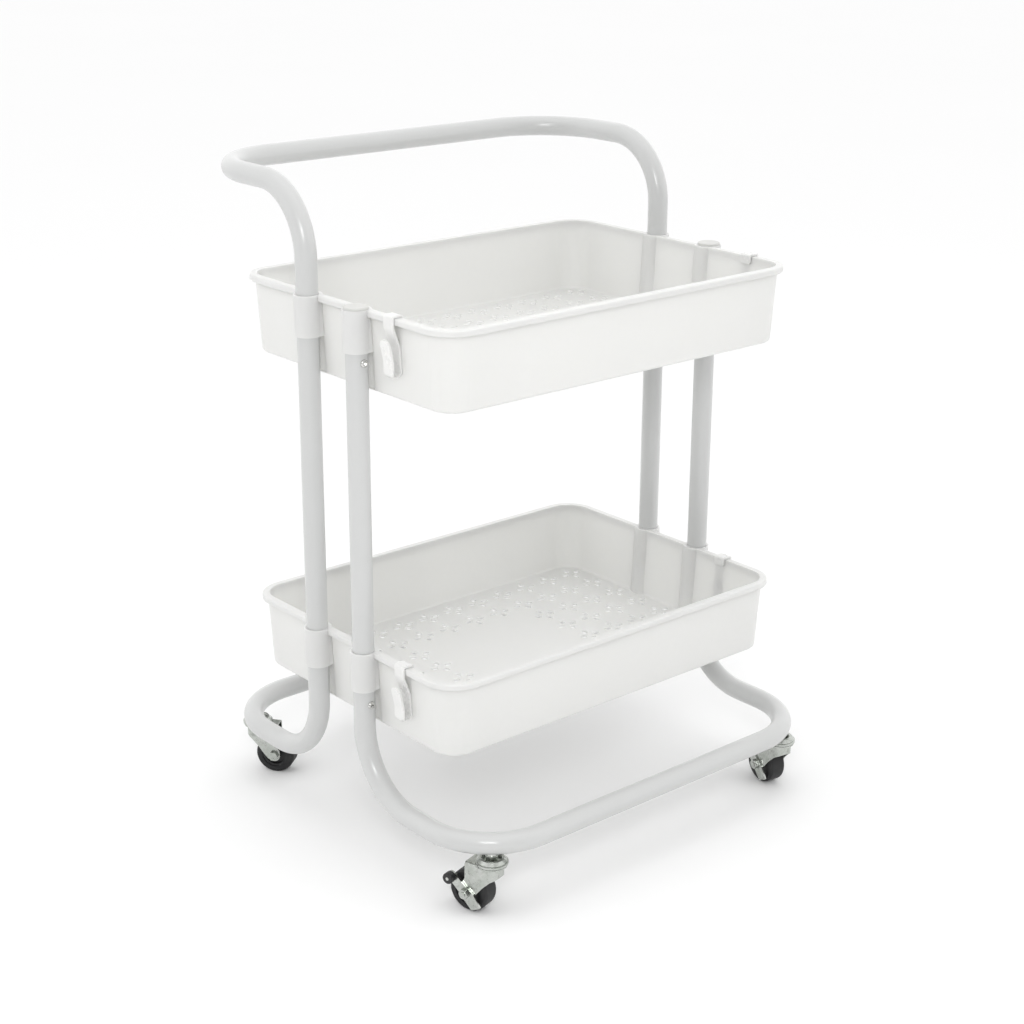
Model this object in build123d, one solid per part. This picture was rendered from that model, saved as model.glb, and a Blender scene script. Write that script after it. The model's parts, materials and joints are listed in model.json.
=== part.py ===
"""Two-tier rolling utility cart: moulded baskets with collars, a bent-tube frame and four swivel casters.

Millimetres. +Z is up, +X runs along the long side and +Y points to the rear, where the push handle is.
The origin is on the floor, under the middle of the posts.
"""

import os
from math import atan, atan2, cos, degrees, radians, sin

from build123d import *

# Frame tubes
tube_diameter = 25.0
tube_wall = 1.5
tube_end_bevel = 0.8
post_outset = 4.0
post_y = 45.5
base_bar_z = 88.0
base_bar_y = 253.5
base_rise_radius = 84.0
base_corner_radius = 87.0
handle_rise = 118.0
handle_bar_y = 253.5
handle_rise_radius = 79.0
handle_corner_radius = 93.0

# Joints between tubes, inside the basket collars
collar_height = 47.0
collar_wall = 2.7
collar_clearance = 0.1
ledge_height = 5.0
spigot_length = 28.0
spigot_wall = 1.5
spigot_clearance = 0.1
shoulder_height = 3.0
upper_screw_drop = 11.0
lower_screw_drop = 17.0

# Joint screws
screw_diameter = 5.0
screw_hole_clearance = 0.05
tube_hole_clearance = 0.2
screw_head_diameter = 9.0
screw_head_height = 2.6
screw_socket_across_flats = 4.0
screw_socket_depth = 2.0

# Baskets
rim_length = 532.0
rim_width = 390.0
rim_corner_radius = 40.0
lip_width = 6.4
lip_height = 8.0
lip_wall = 2.4
lip_round = 2.3
basket_height = 93.0
basket_wall = 2.4
basket_floor = 2.5
wall_taper = 5.5
basket_bottom_round = 5.0
channel_radius = 15.0
web_half_width = 13.4
upper_rim_z = 663.5
lower_rim_z = 266.5

# Floor openings: clusters of four petal slots on a grid that fills the floor but leaves its middle plain
cluster_pitch_x = 41.7
cluster_pitch_y = 43.7
plain_columns = 4
plain_rows = 4
petal_offset = 10.3
petal_length = 9.5
petal_width = 6.5

# End caps in the two front collars of the upper basket
cap_diameter = 27.6
cap_height = 3.0
cap_wall = 2.2

# Hooks
hook_width = 16.0
hook_thickness = 2.4
hook_clearance = 0.3
hook_inner_drop = 9.0
hook_lip_drop = 11.0
hook_wall_drop = 33.0
hook_drop = 66.0
hook_throat = 11.0
hook_bend_drop = 48.0
hook_tip_drop = 23.0
hook_lean = 5.8
hook_lip_radius = 1.6
hook_slant_radius = 8.0
hook_foot_radius = 4.5
hook_arm_radius = 15.0
hook_tip_round = 7.6
hook_foot_round = 7.9
hook_inner_round = 3.0
left_hook_y = (-100.5, -110.0)
right_hook_y = (-122.0, -101.0)

# Casters
wheel_diameter = 50.0
wheel_width = 22.0
wheel_round = 3.5
hub_diameter = 34.0
hub_inset = 1.2
hub_boss_diameter = 13.0
hub_recess_depth = 4.0
tyre_seat_clearance = 0.05
caster_trail = 25.0
caster_corner_angle = 51.5
stem_diameter = 10.0
stem_length = 11.0
stem_collar_across_flats = 14.0
stem_collar_height = 9.0
stem_fit = 0.1
bush_diameter = 14.0
bush_length = 12.0
kingpin_diameter = 8.0
rivet_diameter = 13.0
rivet_height = 2.2
race_radius = 18.7
race_wall = 1.8
race_dome_height = 6.0
ball_diameter = 4.0
ball_circle_radius = 13.2
ball_count = 14
ball_clearance = 0.3
crown_radius = 17.5
crown_thickness = 2.0
crown_top_z = 63.2
fork_thickness = 2.0
fork_side_gap = 1.6
fork_end_radius = 8.0
fork_front_reach = 12.5
fork_front_width = 23.0
fork_front_radius = 9.0
fork_shoulder = 13.0
fork_leg_back = 27.0
axle_diameter = 6.0
running_clearance = 0.08
axle_hex_across_flats = 11.0
axle_hex_height = 4.0
axle_end_reach = 1.0

# Brake pedals on the two front casters
pedal_thickness = 2.0
pedal_gap = 0.3
pedal_hub_radius = 7.5
pedal_arm_width = 12.0
pedal_arm_end = (18.0, 16.5)
pedal_toe = [(-4.0, 6.0), (-11.0, 1.0), (-21.0, -13.5), (-8.5, -19.0), (4.0, -6.0)]
pedal_toe_round = 1.5
roller_diameter = 13.0
roller_length = 9.0
roller_pin_diameter = 4.0
roller_fit = 0.05

# Direction in which each caster trails, in degrees about +Z from +X
trail_direction = {"front_left": 106.0, "front_right": 80.0, "rear_left": 307.0, "rear_right": 248.0}
braked_casters = ("front_left", "front_right")

# Sizes that follow from the ones above
tube_radius = tube_diameter / 2
post_x = rim_length / 2 + post_outset
handle_bar_z = upper_rim_z + handle_rise
tube_bore_radius = tube_radius - tube_wall
spigot_radius = tube_bore_radius - spigot_clearance
spigot_bore_radius = spigot_radius - spigot_wall
collar_bore_radius = tube_radius + collar_clearance
collar_radius = collar_bore_radius + collar_wall
rim_half_x = rim_length / 2
rim_half_y = rim_width / 2
wall_top_x = rim_half_x - lip_width
floor_inset = lip_width + wall_taper + basket_wall + basket_bottom_round
cluster_reach = petal_offset + petal_length / 2
cluster_columns = 1 + int(2 * (rim_half_x - floor_inset - cluster_reach) / cluster_pitch_x)
cluster_rows = 1 + int(2 * (rim_half_y - floor_inset - cluster_reach) / cluster_pitch_y)
screw_radius = screw_diameter / 2
axle_z = wheel_diameter / 2
tube_bottom_z = base_bar_z - tube_radius
upper_seat_z = upper_rim_z - collar_height
lower_seat_z = lower_rim_z - collar_height
post_sides = [(side_x, side_y) for side_x in (-1, 1) for side_y in (-1, 1)]
post_names = {(-1, -1): "front_left", (1, -1): "front_right", (-1, 1): "rear_left", (1, 1): "rear_right"}


def rod(radius, low_z, high_z, x=0.0, y=0.0):
    """Upright cylinder between two heights."""
    return Pos(x, y, low_z) * Cylinder(radius, high_z - low_z, align=(Align.CENTER, Align.CENTER, Align.MIN))


def cross_rod(radius, low_y, high_y, x=0.0, z=0.0):
    """Cylinder along Y between two places."""
    return Pos(x, low_y, z) * Rot(-90, 0, 0) * rod(radius, 0, high_y - low_y)


def hexagon(across_flats, low_z, high_z):
    """Upright hexagonal prism."""
    outline = RegularPolygon(across_flats / 2, 6, major_radius=False)
    return Pos(0, 0, low_z) * extrude(outline, high_z - low_z)


def pipe(path, radius):
    """Solid round bar along a path."""
    return sweep(Plane(origin=path @ 0, z_dir=path % 0) * Circle(radius), path=path)


def side_outline(outline, low_y, high_y):
    """Extrude an outline drawn in X and Z from one Y to another."""
    return extrude(Plane((0, low_y, 0), x_dir=(1, 0, 0), z_dir=(0, -1, 0)) * outline, low_y - high_y)


# ---------------------------------------------------------------- frame tubes


def bent_tube(bar_y, bar_z, open_y, open_z, rise_radius, corner_radius):
    """U-bent tube: two upright legs that turn level, then a bar along the long side."""
    corners = [
        (-post_x, open_y, open_z),
        (-post_x, open_y, bar_z),
        (-post_x, bar_y, bar_z),
        (post_x, bar_y, bar_z),
        (post_x, open_y, bar_z),
        (post_x, open_y, open_z),
    ]
    path = FilletPolyline(*corners, radius=[rise_radius, corner_radius, corner_radius, rise_radius])
    return pipe(path, tube_radius) - pipe(path, tube_bore_radius)


def swaged_end(x, y, seat_z):
    """Closed-in tube end that stands on a collar ledge, with a spigot into the tube below."""
    ledge_top = seat_z + ledge_height
    shoulder = rod((tube_radius + tube_bore_radius) / 2, ledge_top, ledge_top + shoulder_height, x, y)
    spigot = rod(spigot_radius, seat_z - spigot_length, ledge_top + shoulder_height, x, y)
    bore = rod(spigot_bore_radius, seat_z - spigot_length, ledge_top + shoulder_height, x, y)
    return shoulder + spigot - bore


def bevelled_top(tube, ends):
    """Tube with the outer edge of its uppermost ends bevelled."""
    return chamfer(tube.edges().group_by(Axis.Z)[-1].sort_by(SortBy.LENGTH)[-ends:], tube_end_bevel)


def screw_hole(x, y, z, radius):
    """Hole through the outward wall of a post, facing front on the front posts and rear on the rear ones."""
    inner, outer = (0, 2 * tube_radius) if y > 0 else (-2 * tube_radius, 0)
    return cross_rod(radius, y + inner, y + outer, x, z)


def tube_screw_hole(x, y, z):
    """Clearance hole for a joint screw in a tube wall."""
    return screw_hole(x, y, z, screw_radius + tube_hole_clearance)


def spigot_screw_hole(x, y, z):
    """Threaded hole for a joint screw in a spigot, at its thread's outer diameter."""
    return screw_hole(x, y, z, screw_radius + screw_hole_clearance)


def handle_tube():
    """Push handle on the two rear collars of the upper basket."""
    foot_z = upper_seat_z + ledge_height
    handle = bent_tube(handle_bar_y, handle_bar_z, post_y, foot_z, handle_rise_radius, handle_corner_radius)
    for side in (-1, 1):
        handle += swaged_end(side * post_x, post_y, upper_seat_z)
        handle -= spigot_screw_hole(side * post_x, post_y, upper_seat_z - upper_screw_drop)
    return handle


def post(side_x, side_y):
    """Straight tube between a lower collar and the upper collar above it."""
    x, y = side_x * post_x, side_y * post_y
    tube = rod(tube_radius, lower_seat_z + ledge_height, upper_seat_z, x, y)
    tube -= rod(tube_bore_radius, lower_seat_z + ledge_height, upper_seat_z, x, y)
    tube = bevelled_top(tube, 1) + swaged_end(x, y, lower_seat_z)
    tube -= tube_screw_hole(x, y, upper_seat_z - upper_screw_drop)
    return tube - spigot_screw_hole(x, y, lower_seat_z - lower_screw_drop)


def stem_place(side_x, side_y):
    """Middle of the tube at the point of a base corner where the caster is fixed."""
    angle = radians(caster_corner_angle)
    x = post_x - base_corner_radius * (1 - cos(angle))
    y = base_bar_y - base_corner_radius * (1 - sin(angle))
    return side_x * x, side_y * y


def base_tube(side_y):
    """Half of the base: legs from two lower collars, level arms and the bar that joins them."""
    bar_y, leg_y = side_y * base_bar_y, side_y * post_y
    tube = bent_tube(bar_y, base_bar_z, leg_y, lower_seat_z, base_rise_radius, base_corner_radius)
    tube = bevelled_top(tube, 2)
    for side_x in (-1, 1):
        tube -= tube_screw_hole(side_x * post_x, side_y * post_y, lower_seat_z - lower_screw_drop)
        x, y = stem_place(side_x, side_y)
        tube -= rod(bush_diameter / 2 + stem_fit, tube_bottom_z - tube_radius, base_bar_z, x, y)
    return tube


def stem_bushes():
    """Threaded bushes set in the underside of the base tubes, one over each caster."""
    low_z, high_z = tube_bottom_z, tube_bottom_z + bush_length
    bushes = []
    for side_x, side_y in post_sides:
        x, y = stem_place(side_x, side_y)
        bush = rod(bush_diameter / 2, low_z, high_z, x, y)
        bushes.append(bush - rod(stem_diameter / 2 + stem_fit, low_z, high_z, x, y))
    return Compound(children=bushes)


def joint_screw(x, y, z):
    """Button-head socket screw, from outside the tube into the spigot."""
    depth = tube_radius - spigot_bore_radius
    screw = rod(screw_radius, -depth, 0)
    screw += fillet(rod(screw_head_diameter / 2, 0, screw_head_height).edges().group_by(Axis.Z)[-1], 2.0)
    screw -= hexagon(screw_socket_across_flats, screw_head_height - screw_socket_depth, screw_head_height)
    turn = 90 if y < 0 else -90
    surface_y = y + (tube_radius if y > 0 else -tube_radius)
    return Pos(x, surface_y, z) * Rot(turn, 0, 0) * screw


def joint_screws(z):
    """One screw in each of the four posts at one height."""
    return Compound(children=[joint_screw(sx * post_x, sy * post_y, z) for sx, sy in post_sides])


def post_cap(side_x):
    """Plug that closes a front collar of the upper basket and reaches into the post below."""
    x, y = side_x * post_x, -post_y
    ledge_top = upper_seat_z + ledge_height
    disc = rod(cap_diameter / 2, upper_rim_z, upper_rim_z + cap_height, x, y)
    cap = fillet(disc.edges().group_by(Axis.Z)[-1], cap_height / 2)
    cap += rod(tube_radius, ledge_top, upper_rim_z, x, y)
    cap += rod(spigot_radius, upper_seat_z - spigot_length, ledge_top, x, y)
    cap -= rod(spigot_radius - cap_wall, upper_seat_z - spigot_length, upper_rim_z - cap_wall, x, y)
    return cap - spigot_screw_hole(x, y, upper_seat_z - upper_screw_drop)


# ---------------------------------------------------------------- baskets


def rim_outline(shrink):
    """Rim's plan outline, made smaller by the same amount all round."""
    return RectangleRounded(rim_length - 2 * shrink, rim_width - 2 * shrink, rim_corner_radius - shrink)


def wall_loft(inset, low, high):
    """Tapered tray body between two depths below the rim top, inset from the outer wall."""
    sections = []
    for z in (low, high):
        shrink = lip_width + wall_taper * -z / basket_height + inset
        sections.append(Pos(0, 0, z) * rim_outline(shrink))
    return loft(sections)


def rim_band():
    """Turned-over lip round the top edge, open underneath."""
    outer = extrude(rim_outline(0), -lip_height)
    edges = outer.edges().group_by(Axis.Z)
    band = fillet(edges[-1] + edges[0], lip_round)
    return band - Pos(0, 0, -lip_height) * extrude(rim_outline(lip_wall), lip_height - lip_wall)


def leaning_rod(radius, side_x, side_y):
    """Cylinder beside a post that leans inwards with the end wall."""
    lean = side_x * degrees(atan(wall_taper / basket_height))
    length = 2 * basket_height
    return Pos(side_x * post_x, side_y * post_y, 0) * Rot(0, lean, 0) * Cylinder(radius, length)


def collar(side_x, side_y):
    """Sleeve round a post with the web that joins it to the end wall."""
    x, y = side_x * post_x, side_y * post_y
    sleeve = rod(collar_radius, -collar_height, 0, x, y)
    web_depth = post_x - wall_top_x + channel_radius
    web = Box(web_depth, 2 * web_half_width, collar_height)
    web = Pos(side_x * (post_x - web_depth / 2), y, -collar_height / 2) * web
    return sleeve + (web & leaning_rod(channel_radius + basket_wall / 2, side_x, side_y))


def petal_cutter():
    """All the petal slots of the floor as one cutter."""
    petal = SlotOverall(petal_length, petal_width)
    petals = []
    middle_column = (cluster_columns - 1) / 2
    middle_row = (cluster_rows - 1) / 2
    for column in range(cluster_columns):
        for row in range(cluster_rows):
            across, along = column - middle_column, row - middle_row
            if abs(across) < plain_columns / 2 and abs(along) < plain_rows / 2:
                continue
            centre = Pos(across * cluster_pitch_x, along * cluster_pitch_y)
            for turn in (0, 90, 180, 270):
                petals.append(centre * Rot(0, 0, turn) * Pos(petal_offset, 0) * petal)
    return Pos(0, 0, -basket_height - basket_floor) * extrude(Sketch(children=petals), 3 * basket_floor)


def basket():
    """Tray with its rim top at height zero."""
    outer = wall_loft(0, -basket_height, 0)
    outer = fillet(outer.edges().group_by(Axis.Z)[0], basket_bottom_round)
    cavity = wall_loft(basket_wall, basket_floor - basket_height, 0)
    cavity = fillet(cavity.edges().group_by(Axis.Z)[0], basket_bottom_round - basket_wall)
    shell = outer + rim_band()
    for side_x, side_y in post_sides:
        shell -= leaning_rod(channel_radius, side_x, side_y)
        shell += collar(side_x, side_y)
        cavity -= leaning_rod(channel_radius + basket_wall, side_x, side_y)
    tray = shell - cavity
    for side_x, side_y in post_sides:
        x, y = side_x * post_x, side_y * post_y
        tray -= rod(collar_bore_radius, ledge_height - collar_height, lip_height, x, y)
        tray -= rod(spigot_radius + spigot_clearance, -2 * collar_height, 0, x, y)
    return tray - petal_cutter()


# ---------------------------------------------------------------- hooks


def hook_path():
    """Middle line of a hook's strip: over the lip, down beside the wall, and up again as the arm."""
    offset = hook_clearance + hook_thickness / 2
    slope = wall_taper / basket_height
    inner_x = wall_top_x - basket_wall - slope * hook_inner_drop - offset
    lip_x = rim_half_x + offset
    foot_x = wall_top_x - slope * hook_drop + offset
    foot_z = hook_thickness / 2 - hook_drop
    points = [
        (inner_x, 0, -hook_inner_drop),
        (inner_x, 0, offset),
        (lip_x, 0, offset),
        (lip_x, 0, -hook_lip_drop),
        (wall_top_x - slope * hook_wall_drop + offset, 0, -hook_wall_drop),
        (foot_x, 0, foot_z),
        (foot_x + hook_throat, 0, foot_z),
        (foot_x + hook_throat, 0, -hook_bend_drop),
        (foot_x + hook_throat + hook_lean, 0, -hook_tip_drop),
    ]
    bends = 2 * [hook_lip_radius] + 2 * [hook_slant_radius] + 2 * [hook_foot_radius] + [hook_arm_radius]
    return FilletPolyline(*points, radius=bends)


def thickness_edges(strip):
    """Edges across a hook strip's thickness, from the inner end to the tip."""
    return strip.edges().filter_by(lambda edge: abs(edge.length - hook_thickness) < 0.01).group_by(Axis.X)


def hook(side_x, y):
    """Hook that hangs over the end lip, with its rim top at height zero."""
    path = hook_path()
    section = Plane(path @ 0, x_dir=(0, 1, 0), z_dir=path % 0) * Rectangle(hook_width, hook_thickness)
    strip = sweep(section, path=path)
    strip = fillet(thickness_edges(strip)[-1], hook_tip_round)
    strip = fillet(thickness_edges(strip)[0], hook_inner_round)
    face = Plane((0, 0, 0), x_dir=(0, 1, 0), z_dir=(1, 0, 0))
    outline = face * RectangleRounded(hook_width, 2 * hook_drop, hook_foot_round)
    strip &= extrude(outline, 2 * rim_length)
    placed = strip if side_x > 0 else mirror(strip, about=Plane.YZ)
    return Pos(0, y, 0) * placed


# ---------------------------------------------------------------- casters, along local +X from the stem axis


def caster_stem():
    """Threaded stem with its hexagon collar, kingpin and riveted end."""
    collar_low = tube_bottom_z - stem_collar_height
    rivet_top = crown_top_z - crown_thickness - ball_clearance
    stem = rod(stem_diameter / 2, collar_low, tube_bottom_z + stem_length)
    stem += hexagon(stem_collar_across_flats, collar_low, tube_bottom_z)
    stem += rod(kingpin_diameter / 2, rivet_top - rivet_height, collar_low)
    return stem + rod(rivet_diameter / 2, rivet_top - rivet_height, rivet_top)


def top_race():
    """Domed ball race clamped under the stem's hexagon, with a recess round the hexagon."""
    hub_top = tube_bottom_z - stem_collar_height
    hub_low = hub_top - race_wall
    dome = crown_top_z + ball_clearance + race_dome_height
    skirt_top = crown_top_z + 3.6
    skirt_low = crown_top_z + 1.3
    pin = kingpin_diameter / 2 + running_clearance
    ring = ball_circle_radius
    profile = Polyline(
        (pin, 0, hub_low),
        (pin, 0, hub_top),
        (ring - 4.0, 0, hub_top),
        (ring - 1.8, 0, dome + race_wall),
        (ring + 1.2, 0, dome + race_wall),
        (race_radius - 1.4, 0, skirt_top + 1.3),
        (race_radius - 1.4, 0, skirt_top + 0.3),
        (race_radius, 0, skirt_top),
        (race_radius, 0, skirt_low),
        (race_radius - race_wall, 0, skirt_low),
        (race_radius - race_wall, 0, skirt_top - 1.3),
        (ring + 0.6, 0, dome),
        (ring - 0.6, 0, dome),
        (ring - 2.9, 0, hub_low),
        close=True,
    )
    return revolve(make_face(profile), Axis.Z)


def race_balls():
    """Ring of balls between the race and the fork's crown."""
    z = crown_top_z + ball_clearance + ball_diameter / 2
    ring = PolarLocations(ball_circle_radius, ball_count)
    return Compound(children=[place * Pos(0, 0, z) * Sphere(ball_diameter / 2) for place in ring])


def fork_shell():
    """Inside and outside of the bent sheet before its sides are cut to shape."""
    half = leg_face_y()
    plan = make_face(Polyline(
        (3 * wheel_diameter, half),
        (fork_shoulder, half),
        (-fork_front_reach, fork_front_width / 2),
        (-fork_front_reach, -fork_front_width / 2),
        (fork_shoulder, -half),
        (3 * wheel_diameter, -half),
        close=True,
    ))
    plan = fillet(plan.vertices().group_by(Axis.X)[0], fork_front_radius)
    outer = extrude(plan, crown_top_z)
    outer = fillet(outer.edges().group_by(Axis.Z)[-1], 1.6 * fork_thickness)
    inner = extrude(offset(plan, -fork_thickness), crown_top_z - crown_thickness)
    return outer - fillet(inner.edges().group_by(Axis.Z)[-1], 0.6 * fork_thickness)


def fork():
    """Pressed fork with a round crown, a narrow front wall and two legs that hold the axle."""
    top_z = crown_top_z
    leg = Polyline(
        (-2 * fork_front_reach, top_z),
        (fork_leg_back, top_z),
        (fork_leg_back, axle_z + 18),
        (caster_trail + fork_end_radius, axle_z + 5),
        (caster_trail + fork_end_radius, axle_z),
        (caster_trail, axle_z - fork_end_radius),
        (caster_trail - fork_end_radius, axle_z - 5),
        (caster_trail - 15.5, axle_z + 4),
        (caster_trail - 21, axle_z + 11),
        (caster_trail - 30, axle_z + 20),
        (-fork_front_reach, top_z - 13.5),
        (-2 * fork_front_reach, top_z - 13.5),
        close=True,
    )
    leg_face = make_face(leg) + Pos(caster_trail, axle_z) * Circle(fork_end_radius)
    crown = fillet(rod(crown_radius, top_z - crown_thickness, top_z).edges().group_by(Axis.Z)[0], 0.6)
    body = (fork_shell() & side_outline(leg_face, -100, 100)) + crown
    body -= rod(kingpin_diameter / 2 + running_clearance, 0, 2 * top_z)
    return body - cross_rod(axle_diameter / 2 + 0.05, -100, 100, caster_trail, axle_z)


def leg_face_y():
    """Distance of a fork leg's outer face from the wheel's middle plane."""
    return wheel_width / 2 + fork_side_gap + fork_thickness


def axle_nut_y(braked):
    """Place of the nut's inner face, past the pedal on a braked caster."""
    return leg_face_y() + (pedal_thickness + 2 * pedal_gap if braked else 0)


def axle_bolt(braked):
    """Axle bolt with its hexagon head on the inner side."""
    end = axle_nut_y(braked) + axle_hex_height + axle_end_reach
    shank = cross_rod(axle_diameter / 2, -leg_face_y(), end, caster_trail, axle_z)
    head = hexagon(axle_hex_across_flats, 0, axle_hex_height)
    return shank + Pos(caster_trail, -leg_face_y(), axle_z) * Rot(90, 0, 0) * head


def axle_nut(braked):
    """Locking nut with a rounded collar."""
    nut = hexagon(axle_hex_across_flats, 0, axle_hex_height)
    nut &= fillet(rod(axle_hex_across_flats * 0.56, 0, axle_hex_height).edges().group_by(Axis.Z)[-1], 0.8)
    nut -= rod(axle_diameter / 2 + 0.02, 0, axle_hex_height)
    return Pos(caster_trail, axle_nut_y(braked), axle_z) * Rot(-90, 0, 0) * nut


def wheel_hub():
    """Wheel core with a boss that turns on the axle."""
    half = wheel_width / 2
    core = cross_rod(hub_diameter / 2, hub_inset - half, half - hub_inset)
    for side in (-1, 1):
        ring = cross_rod(hub_diameter / 2 - 3, -hub_recess_depth / 2, hub_recess_depth / 2)
        ring -= cross_rod(hub_boss_diameter / 2, -hub_recess_depth, hub_recess_depth)
        core -= Pos(0, side * (half - hub_inset - hub_recess_depth / 2), 0) * ring
    core += cross_rod(hub_boss_diameter / 2, -half, half)
    core -= cross_rod(axle_diameter / 2 + running_clearance, -wheel_width, wheel_width)
    return Pos(caster_trail, 0, axle_z) * core


def tyre():
    """Solid tread ring with rounded shoulders."""
    half = wheel_width / 2
    ring = cross_rod(wheel_diameter / 2, -half, half)
    ring = fillet(ring.edges().filter_by(GeomType.CIRCLE), wheel_round)
    ring -= cross_rod(hub_diameter / 2 + tyre_seat_clearance, -wheel_width, wheel_width)
    return Pos(caster_trail, 0, axle_z) * ring


def bar_outline(start, end, width):
    """Round-ended bar between two points of a plane."""
    run = Vector(*end) - Vector(*start)
    middle = (Vector(*end) + Vector(*start)) / 2
    turn = degrees(atan2(run.Y, run.X))
    return Pos(middle.X, middle.Y) * Rot(0, 0, turn) * SlotCenterToCenter(run.length, width)


def roller_place():
    """Middle line of the pedal's roller in X and Z."""
    return caster_trail + pedal_arm_end[0], axle_z + pedal_arm_end[1]


def brake_pedal():
    """Stamped lever that turns on the axle, with a wide toe below and a pin for the roller above."""
    face = leg_face_y() + pedal_gap
    axle = (caster_trail, axle_z)
    toe = make_face(Polyline(*pedal_toe, close=True))
    toe = fillet(toe.vertices().group_by(Axis.Y)[0] + toe.vertices().group_by(Axis.X)[0], pedal_toe_round)
    outline = Pos(*axle) * (toe + Circle(pedal_hub_radius))
    outline += bar_outline(axle, roller_place(), pedal_arm_width)
    plate = side_outline(outline, face, face + pedal_thickness)
    x, z = roller_place()
    plate += cross_rod(roller_pin_diameter / 2, face, face + pedal_thickness + roller_length, x, z)
    return plate - cross_rod(axle_diameter / 2 + running_clearance, 0, 100, *axle)


def pedal_roller():
    """Grip sleeve on the pedal's pin."""
    low = leg_face_y() + pedal_gap + pedal_thickness
    x, z = roller_place()
    sleeve = cross_rod(roller_diameter / 2, low, low + roller_length, x, z)
    sleeve = fillet(sleeve.edges().filter_by(GeomType.CIRCLE), 1.2)
    return sleeve - cross_rod(roller_pin_diameter / 2 + roller_fit, low, low + roller_length, x, z)


def caster_nodes(name, side_x, side_y):
    """Every piece of one caster, turned to the way it trails and set under its base corner."""
    braked = name in braked_casters
    pieces = {
        "stem": caster_stem(),
        "top_race": top_race(),
        "balls": race_balls(),
        "fork": fork(),
        "axle_bolt": axle_bolt(braked),
        "axle_nut": axle_nut(braked),
        "wheel_hub": wheel_hub(),
        "tyre": tyre(),
    }
    if braked:
        pieces["brake_pedal"] = brake_pedal()
        pieces["pedal_roller"] = pedal_roller()
    x, y = stem_place(side_x, side_y)
    place = Pos(x, y, 0) * Rot(0, 0, trail_direction[name])
    return {f"{name}_{piece}": place * shape for piece, shape in pieces.items()}


def all_nodes():
    """Every node of the cart by name."""
    tray = basket()
    nodes = {
        "upper_basket": Pos(0, 0, upper_rim_z) * tray,
        "lower_basket": Pos(0, 0, lower_rim_z) * tray,
        "handle_tube": handle_tube(),
        "base_front_tube": base_tube(-1),
        "base_rear_tube": base_tube(1),
        "stem_bushes": stem_bushes(),
        "upper_joint_screws": joint_screws(upper_seat_z - upper_screw_drop),
        "lower_joint_screws": joint_screws(lower_seat_z - lower_screw_drop),
        "left_post_cap": post_cap(-1),
        "right_post_cap": post_cap(1),
    }
    rims = (upper_rim_z, lower_rim_z)
    for tier, rim_z, left_y, right_y in zip(("upper", "lower"), rims, left_hook_y, right_hook_y):
        nodes[f"{tier}_left_hook"] = Pos(0, 0, rim_z) * hook(-1, left_y)
        nodes[f"{tier}_right_hook"] = Pos(0, 0, rim_z) * hook(1, right_y)
    for side_x, side_y in post_sides:
        name = post_names[side_x, side_y]
        nodes[f"{name}_post"] = post(side_x, side_y)
        nodes.update(caster_nodes(name, side_x, side_y))
    return nodes


os.makedirs("parts", exist_ok=True)
for node, shape in all_nodes().items():
    export_step(shape, f"parts/{node}.step")
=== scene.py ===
"""Rolling utility cart: materials, floor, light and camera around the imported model.

Metres, +Z up, +X along the long side and +Y to the rear, where the push handle is.
"""

import json
from math import cos, sin

import bpy
from mathutils import Matrix, Vector


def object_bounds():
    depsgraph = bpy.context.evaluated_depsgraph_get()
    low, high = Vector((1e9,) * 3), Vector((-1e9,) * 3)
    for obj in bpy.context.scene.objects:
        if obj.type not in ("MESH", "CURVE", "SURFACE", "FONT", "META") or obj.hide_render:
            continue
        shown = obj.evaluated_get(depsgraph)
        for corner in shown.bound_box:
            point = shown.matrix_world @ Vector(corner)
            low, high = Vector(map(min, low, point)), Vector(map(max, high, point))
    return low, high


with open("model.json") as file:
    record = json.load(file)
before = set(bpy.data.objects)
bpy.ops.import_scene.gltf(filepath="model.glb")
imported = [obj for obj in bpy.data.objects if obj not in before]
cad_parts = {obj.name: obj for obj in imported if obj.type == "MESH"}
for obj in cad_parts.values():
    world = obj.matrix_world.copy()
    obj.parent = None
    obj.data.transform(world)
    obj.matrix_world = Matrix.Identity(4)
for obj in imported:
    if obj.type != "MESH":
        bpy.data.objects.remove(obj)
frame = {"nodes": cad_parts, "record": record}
cad_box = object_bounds()
nodes = frame["nodes"]
record = frame["record"]
slot_of = {part["node"]: part["material_slot"] for part in record["subparts"]}
cart_low, cart_high = cad_box
cart_middle = (Vector(cart_low) + Vector(cart_high)) / 2

# Surroundings: brightness away from the camera and behind it, and where the change starts and ends
camera_side = (-0.652, -0.758, 0.0)
studio_bright = 1.25
studio_dark = 0.2
darkening_start = 0.2
darkening_end = 0.95

# Lamps: place and width in metres, power in watts
overhead_place = (-0.3, -0.2, 2.9)
overhead_width = 2.2
overhead_power = 4.0
key_place = (-1.9, -2.1, 1.9)
key_width = 1.0
key_power = 32.0

# Camera: place in metres, angles in radians, lens in millimetres
camera_place = (-1.4444, -1.6759, 1.1420)
camera_yaw = 0.708
camera_pitch = 0.3398
camera_roll = 0.0055
camera_lens = 67.41
camera_sensor = 36.0
camera_reach = 100.0

# Floor: wide enough to fill the view to its top edge
floor_width = 40.0

# Distance that light travels inside the moulded plastic, in metres
glow_depth = 0.008


# ---------------------------------------------------------------- materials


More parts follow.
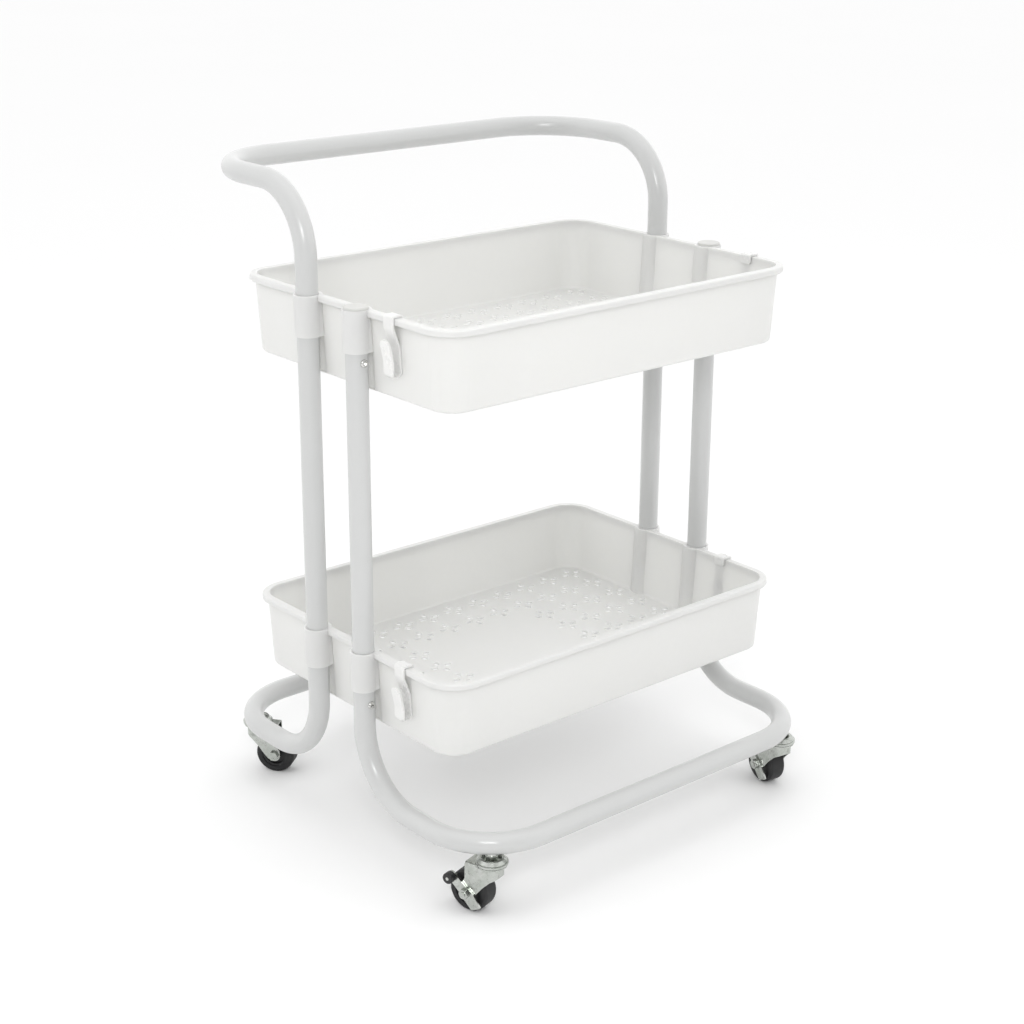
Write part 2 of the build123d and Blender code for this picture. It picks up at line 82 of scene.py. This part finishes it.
class Material:
    """Small helper that wires a Principled shader from object-space textures in metres."""

    def __init__(self, name, colour, roughness, metallic=0.0, specular=0.5):
        self.material = bpy.data.materials.new(name)
        self.material.use_nodes = True
        self.tree = self.material.node_tree
        self.shader = self.tree.nodes["Principled BSDF"]
        self.shader.inputs["Base Color"].default_value = (*colour, 1.0)
        self.shader.inputs["Roughness"].default_value = roughness
        self.shader.inputs["Metallic"].default_value = metallic
        self.shader.inputs["Specular IOR Level"].default_value = specular
        self.place = self.node("ShaderNodeTexCoord").outputs["Object"]
        self.height = None

    def node(self, kind, **settings):
        """New node with some of its settings or unlinked inputs."""
        node = self.tree.nodes.new(kind)
        for key, value in settings.items():
            if hasattr(node, key):
                setattr(node, key, value)
            else:
                node.inputs[key.replace("_", " ")].default_value = value
        return node

    def link(self, source, target):
        """Join an output to an input."""
        self.tree.links.new(source, target)

    def stretched(self, scale):
        """Object coordinates stretched along the axes."""
        mapping = self.node("ShaderNodeMapping")
        mapping.inputs["Scale"].default_value = scale
        self.link(self.place, mapping.inputs["Vector"])
        return mapping.outputs["Vector"]

    def noise(self, scale, detail=2.0, rough=0.5, vector=None):
        """Noise from 0 to 1, scale in lumps per metre."""
        texture = self.node("ShaderNodeTexNoise", Scale=scale, Detail=detail, Roughness=rough)
        self.link(vector or self.place, texture.inputs["Vector"])
        return texture.outputs["Fac"]

    def ranged(self, source, low, high, from_low=0.25, from_high=0.75):
        """Source remapped from its own range to another."""
        mapping = self.node("ShaderNodeMapRange")
        mapping.inputs["From Min"].default_value = from_low
        mapping.inputs["From Max"].default_value = from_high
        mapping.inputs["To Min"].default_value = low
        mapping.inputs["To Max"].default_value = high
        self.link(source, mapping.inputs["Value"])
        return mapping.outputs["Result"]

    def mix(self, factor, first, second):
        """Colour mix of two colours, or of an earlier output and a colour."""
        mixer = self.node("ShaderNodeMix", data_type="RGBA")
        self.link(factor, mixer.inputs["Factor"])
        for value, socket in ((first, mixer.inputs[6]), (second, mixer.inputs[7])):
            if isinstance(value, tuple):
                socket.default_value = (*value, 1.0)
            else:
                self.link(value, socket)
        return mixer.outputs[2]

    def colour(self, source):
        """Drive the base colour."""
        self.link(source, self.shader.inputs["Base Color"])

    def roughness(self, source):
        """Drive the roughness."""
        self.link(source, self.shader.inputs["Roughness"])

    def bump(self, source, depth, strength=1.0):
        """Add relief, depth in metres, on top of any relief added before."""
        bump = self.node("ShaderNodeBump", Distance=depth, Strength=strength)
        self.link(source, bump.inputs["Height"])
        if self.height:
            self.link(self.height, bump.inputs["Normal"])
        self.height = bump.outputs["Normal"]
        self.link(self.height, self.shader.inputs["Normal"])


def scaled(colour, factor):
    """Colour made lighter or darker."""
    return tuple(min(1.0, channel * factor) for channel in colour)


def moulded_plastic(name, colour, roughness, grain_depth, glow):
    """Moulded plastic: flow mottling, fine grain, handling marks and light through thin walls."""
    made = Material(name, colour, roughness)
    flow = made.noise(5.0, detail=3.0, vector=made.stretched((1.0, 1.0, 0.4)))
    fine = made.noise(160.0, detail=3.0)
    tinted = made.mix(made.ranged(flow, 0.0, 1.0), scaled(colour, 0.985), scaled(colour, 1.01))
    made.colour(made.mix(made.ranged(fine, 0.0, 0.35), tinted, scaled(colour, 0.97)))
    made.roughness(made.ranged(made.noise(26.0, detail=5.0, rough=0.6), roughness - 0.05, roughness + 0.07))
    made.bump(made.noise(9.0, detail=1.0), 0.0006, 0.25)
    made.bump(made.noise(1500.0, detail=2.0), grain_depth, 0.5)
    made.shader.inputs["Subsurface Weight"].default_value = glow
    made.shader.inputs["Subsurface Radius"].default_value = (1.0, 1.0, 0.95)
    made.shader.inputs["Subsurface Scale"].default_value = glow_depth
    return made


def powder_coat(name, colour):
    """Powder-coated tube: orange-peel skin with slight changes in tone and gloss."""
    made = Material(name, colour, 0.33)
    tone = made.noise(7.0, detail=3.0)
    specks = made.noise(420.0, detail=2.0)
    tinted = made.mix(made.ranged(tone, 0.0, 1.0), scaled(colour, 0.98), scaled(colour, 1.015))
    made.colour(made.mix(made.ranged(specks, 0.0, 0.5, 0.62, 0.8), tinted, scaled(colour, 0.93)))
    made.roughness(made.ranged(made.noise(60.0, detail=4.0), 0.29, 0.4))
    made.bump(made.noise(330.0, detail=1.5), 0.00012, 0.45)
    made.bump(made.noise(1800.0, detail=1.0), 0.00002, 0.4)
    made.shader.inputs["Coat Weight"].default_value = 0.4
    made.shader.inputs["Coat Roughness"].default_value = 0.12
    return made


def zinc_plate(name):
    """Zinc plating over stamped steel: tumbled, with cloudy tint changes and fine scratches."""
    silver, green, dull = (0.60, 0.61, 0.59), (0.42, 0.45, 0.41), (0.16, 0.165, 0.155)
    made = Material(name, silver, 0.3, metallic=1.0)
    clouds = made.noise(70.0, detail=4.0, rough=0.6)
    stains = made.noise(190.0, detail=5.0, rough=0.65)
    scratches = made.noise(900.0, detail=2.0, vector=made.stretched((1.0, 0.12, 1.0)))
    tinted = made.mix(made.ranged(clouds, 0.0, 1.0), silver, green)
    made.colour(made.mix(made.ranged(stains, 0.0, 0.6, 0.5, 0.85), tinted, dull))
    made.roughness(made.ranged(stains, 0.14, 0.34))
    made.bump(stains, 0.00008, 0.4)
    made.bump(scratches, 0.00002, 0.5)
    return made


def bright_steel(name):
    """Nickel-bright fasteners and balls with light tool marks."""
    made = Material(name, (0.68, 0.68, 0.66), 0.2, metallic=1.0)
    marks = made.noise(700.0, detail=3.0)
    made.colour(made.mix(made.ranged(marks, 0.0, 1.0), (0.72, 0.72, 0.70), (0.52, 0.52, 0.51)))
    made.roughness(made.ranged(marks, 0.14, 0.32))
    made.bump(marks, 0.00003, 0.4)
    return made


def black_moulding(name, colour, roughness, grain):
    """Black caster plastic or rubber with a matt grain and a trace of floor dust."""
    made = Material(name, colour, roughness)
    dust = made.noise(55.0, detail=6.0, rough=0.65)
    made.colour(made.mix(made.ranged(dust, 0.0, 0.5, 0.45, 0.85), colour, (0.05, 0.049, 0.047)))
    made.roughness(made.ranged(dust, roughness - 0.08, roughness + 0.12))
    made.bump(made.noise(grain, detail=2.0), 0.00006, 0.5)
    return made


def make_materials():
    """One finish for each material slot of the record."""
    basket_white = (0.70, 0.70, 0.687)
    return {
        "basket_plastic": moulded_plastic("basket_plastic", basket_white, 0.34, 0.00003, 0.7).material,
        "tube_paint": powder_coat("tube_paint", (0.575, 0.58, 0.575)).material,
        "cap_plastic": moulded_plastic("cap_plastic", (0.60, 0.60, 0.58), 0.4, 0.00004, 0.1).material,
        "hook_plastic": moulded_plastic("hook_plastic", (0.78, 0.78, 0.765), 0.28, 0.00002, 0.3).material,
        "zinc": zinc_plate("zinc").material,
        "screw_steel": bright_steel("screw_steel").material,
        "wheel_core": black_moulding("wheel_core", (0.012, 0.012, 0.013), 0.42, 1300.0).material,
        "wheel_tread": black_moulding("wheel_tread", (0.008, 0.008, 0.009), 0.55, 900.0).material,
    }


def dress_nodes():
    """Give every piece of the frame its finish."""
    finishes = make_materials()
    for name, piece in nodes.items():
        piece.data.materials.clear()
        piece.data.materials.append(finishes[slot_of[name]])


# ---------------------------------------------------------------- floor, light and camera


def add_floor():
    """Pale seamless floor."""
    bpy.ops.mesh.primitive_plane_add(size=floor_width, location=(0.0, 0.0, 0.0))
    floor = bpy.context.object
    floor.name = "floor"
    made = Material("floor", (0.9, 0.9, 0.9), 0.9, specular=0.1)
    made.colour(made.mix(made.noise(0.8, detail=2.0), (0.895, 0.895, 0.895), (0.905, 0.905, 0.905)))
    floor.data.materials.append(made.material)


def aim(thing, target):
    """Point an object's -Z axis at a place."""
    thing.rotation_euler = (Vector(target) - thing.location).to_track_quat("-Z", "Y").to_euler()


def add_area(name, place, size, power):
    """Square soft light aimed at the cart."""
    light = bpy.data.lights.new(name, "AREA")
    light.size = size
    light.energy = power
    lamp = bpy.data.objects.new(name, light)
    bpy.context.scene.collection.objects.link(lamp)
    lamp.location = place
    aim(lamp, cart_middle)


def add_surroundings():
    """White studio that darkens towards the side the camera stands on."""
    world = bpy.data.worlds.new("studio")
    world.use_nodes = True
    tree = world.node_tree
    background = tree.nodes["Background"]
    background.inputs["Strength"].default_value = 1.0
    place = tree.nodes.new("ShaderNodeTexCoord")
    facing = tree.nodes.new("ShaderNodeVectorMath")
    facing.operation = "DOT_PRODUCT"
    facing.inputs[1].default_value = camera_side
    tree.links.new(place.outputs["Generated"], facing.inputs[0])
    shade = tree.nodes.new("ShaderNodeMapRange")
    shade.interpolation_type = "SMOOTHSTEP"
    shade.inputs["From Min"].default_value = darkening_start
    shade.inputs["From Max"].default_value = darkening_end
    shade.inputs["To Min"].default_value = studio_bright
    shade.inputs["To Max"].default_value = studio_dark
    tree.links.new(facing.outputs["Value"], shade.inputs["Value"])
    tree.links.new(shade.outputs["Result"], background.inputs["Color"])
    bpy.context.scene.world = world


def add_light():
    """Surroundings, a large softbox overhead and a key light above the camera."""
    add_surroundings()
    add_area("overhead", overhead_place, overhead_width, overhead_power)
    add_area("key", key_place, key_width, key_power)


def add_camera():
    """Camera in front of the cart's left corner, looking slightly down."""
    level = cos(camera_pitch)
    forward = Vector((sin(camera_yaw) * level, cos(camera_yaw) * level, -sin(camera_pitch)))
    right = Vector((cos(camera_yaw), -sin(camera_yaw), 0.0))
    up = right.cross(forward)
    rolled_right = cos(camera_roll) * right + sin(camera_roll) * up
    rolled_up = -sin(camera_roll) * right + cos(camera_roll) * up
    lens = bpy.data.cameras.new("camera")
    lens.sensor_width = camera_sensor
    lens.lens = camera_lens
    lens.clip_end = camera_reach
    camera = bpy.data.objects.new("camera", lens)
    bpy.context.scene.collection.objects.link(camera)
    turn = Matrix((rolled_right, rolled_up, -forward)).transposed().to_4x4()
    camera.matrix_world = Matrix.Translation(camera_place) @ turn
    bpy.context.scene.camera = camera


dress_nodes()
add_floor()
add_light()
add_camera()
bpy.context.scene.view_settings.view_transform = "Standard"
